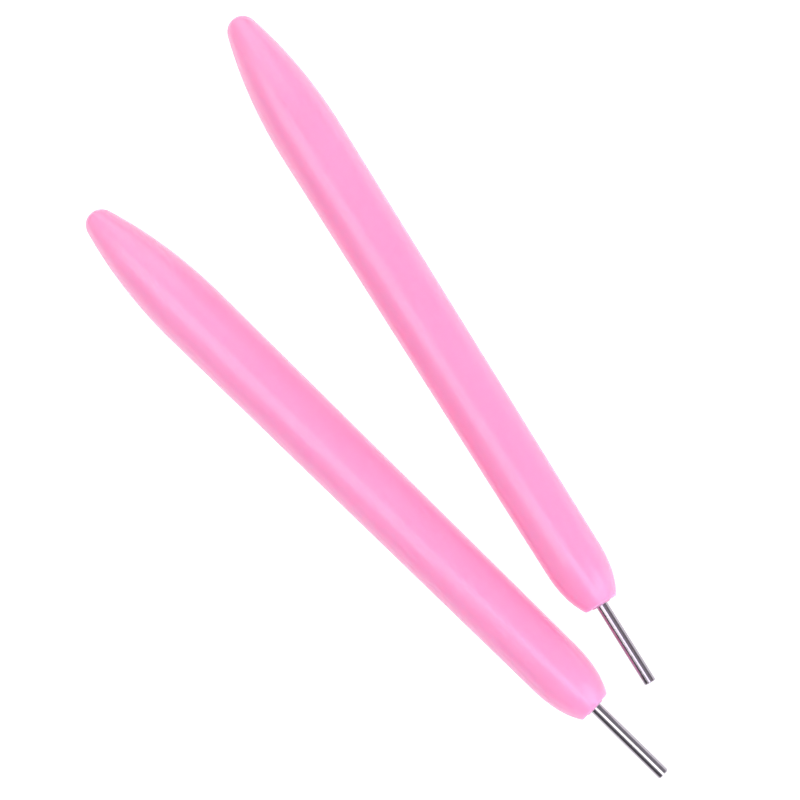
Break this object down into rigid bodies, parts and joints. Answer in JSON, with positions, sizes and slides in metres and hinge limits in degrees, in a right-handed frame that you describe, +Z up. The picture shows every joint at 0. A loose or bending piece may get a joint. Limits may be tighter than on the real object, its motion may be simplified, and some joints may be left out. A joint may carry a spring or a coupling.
{
  "type": "quilling tool",
  "caption": "Matching slotted quilling tools, each a slim round tapered handle with a short slotted steel needle that grips and winds a paper strip.",
  "frame": {"origin": "on the table, under the middle of the pair's bounding box", "axes": "+X along the first tool from its butt to its needle, level with the table; +Y towards the second tool; +Z up"},
  "size_m": [0.1086, 0.0408, 0.0092],
  "materials": {
    "handle_plastic": "moulded, satin gloss, pink",
    "needle_steel": "ground and lightly polished"
  },
  "bodies": {
    "first_tool": {"first_handle": "handle_plastic", "first_needle": "needle_steel"},
    "second_tool": {"second_handle": "handle_plastic", "second_needle": "needle_steel"}
  },
  "joints": [
    {"name": "second_tool_lift", "type": "slide", "parent": "first_tool", "child": "second_tool", "axis": [0, 0, 1], "range_m": [0, 0.04]}
  ]
}
